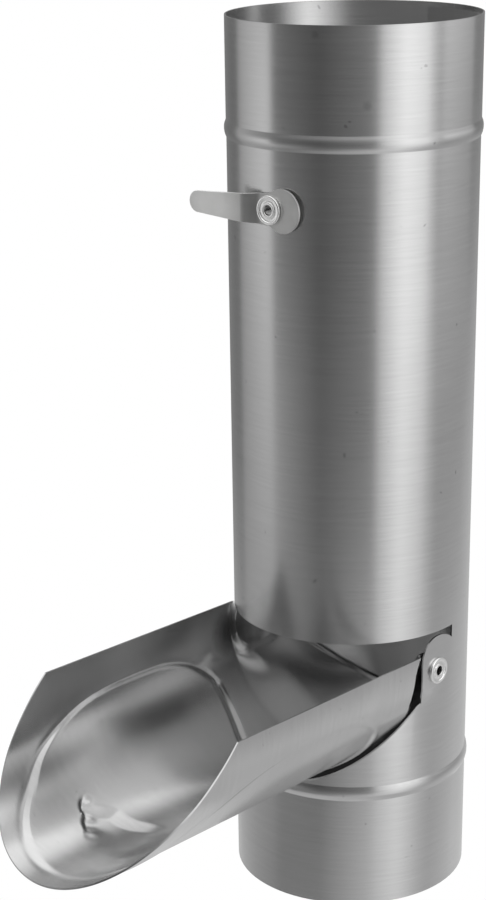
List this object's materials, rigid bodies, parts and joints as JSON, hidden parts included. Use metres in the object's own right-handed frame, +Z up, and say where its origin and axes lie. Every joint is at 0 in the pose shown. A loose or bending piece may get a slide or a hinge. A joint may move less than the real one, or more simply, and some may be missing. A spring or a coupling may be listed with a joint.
{
  "type": "rainwater diverter",
  "caption": "Round sheet-metal downpipe section with a window, a riveted fold-out chute flap and a turn tab that holds the flap shut.",
  "frame": {"origin": "on the pipe's axis, at its lower rim", "axes": "+Z up along the pipe; the open chute points along -Y; +X is the viewer's right when looking at the mouth of the chute"},
  "size_m": [0.103, 0.2402, 0.363],
  "materials": {
    "pipe_sheet": "rolled zinc, finely brushed round the pipe",
    "flap_sheet": "rolled zinc, smoother than the pipe",
    "tab_sheet": "plain zinc sheet",
    "rivet_metal": "bright turned metal"
  },
  "bodies": {
    "pipe_body": {"pipe": "pipe_sheet", "latch_rivet": "rivet_metal", "right_pivot_rivet": "rivet_metal", "left_pivot_rivet": "rivet_metal"},
    "flap_body": {"flap": "flap_sheet"},
    "tab_body": {"latch_tab": "tab_sheet"}
  },
  "joints": [
    {"name": "flap_hinge", "type": "hinge", "parent": "pipe_body", "child": "flap_body", "pos_m": [0, -0.0058, 0.1026], "axis": [-1, 0, 0], "range_deg": [0, 88]},
    {"name": "tab_swivel", "type": "hinge", "parent": "pipe_body", "child": "tab_body", "pos_m": [0, -0.0508, 0.2945], "axis": [0, -1, 0], "range_deg": [0, 90]}
  ]
}
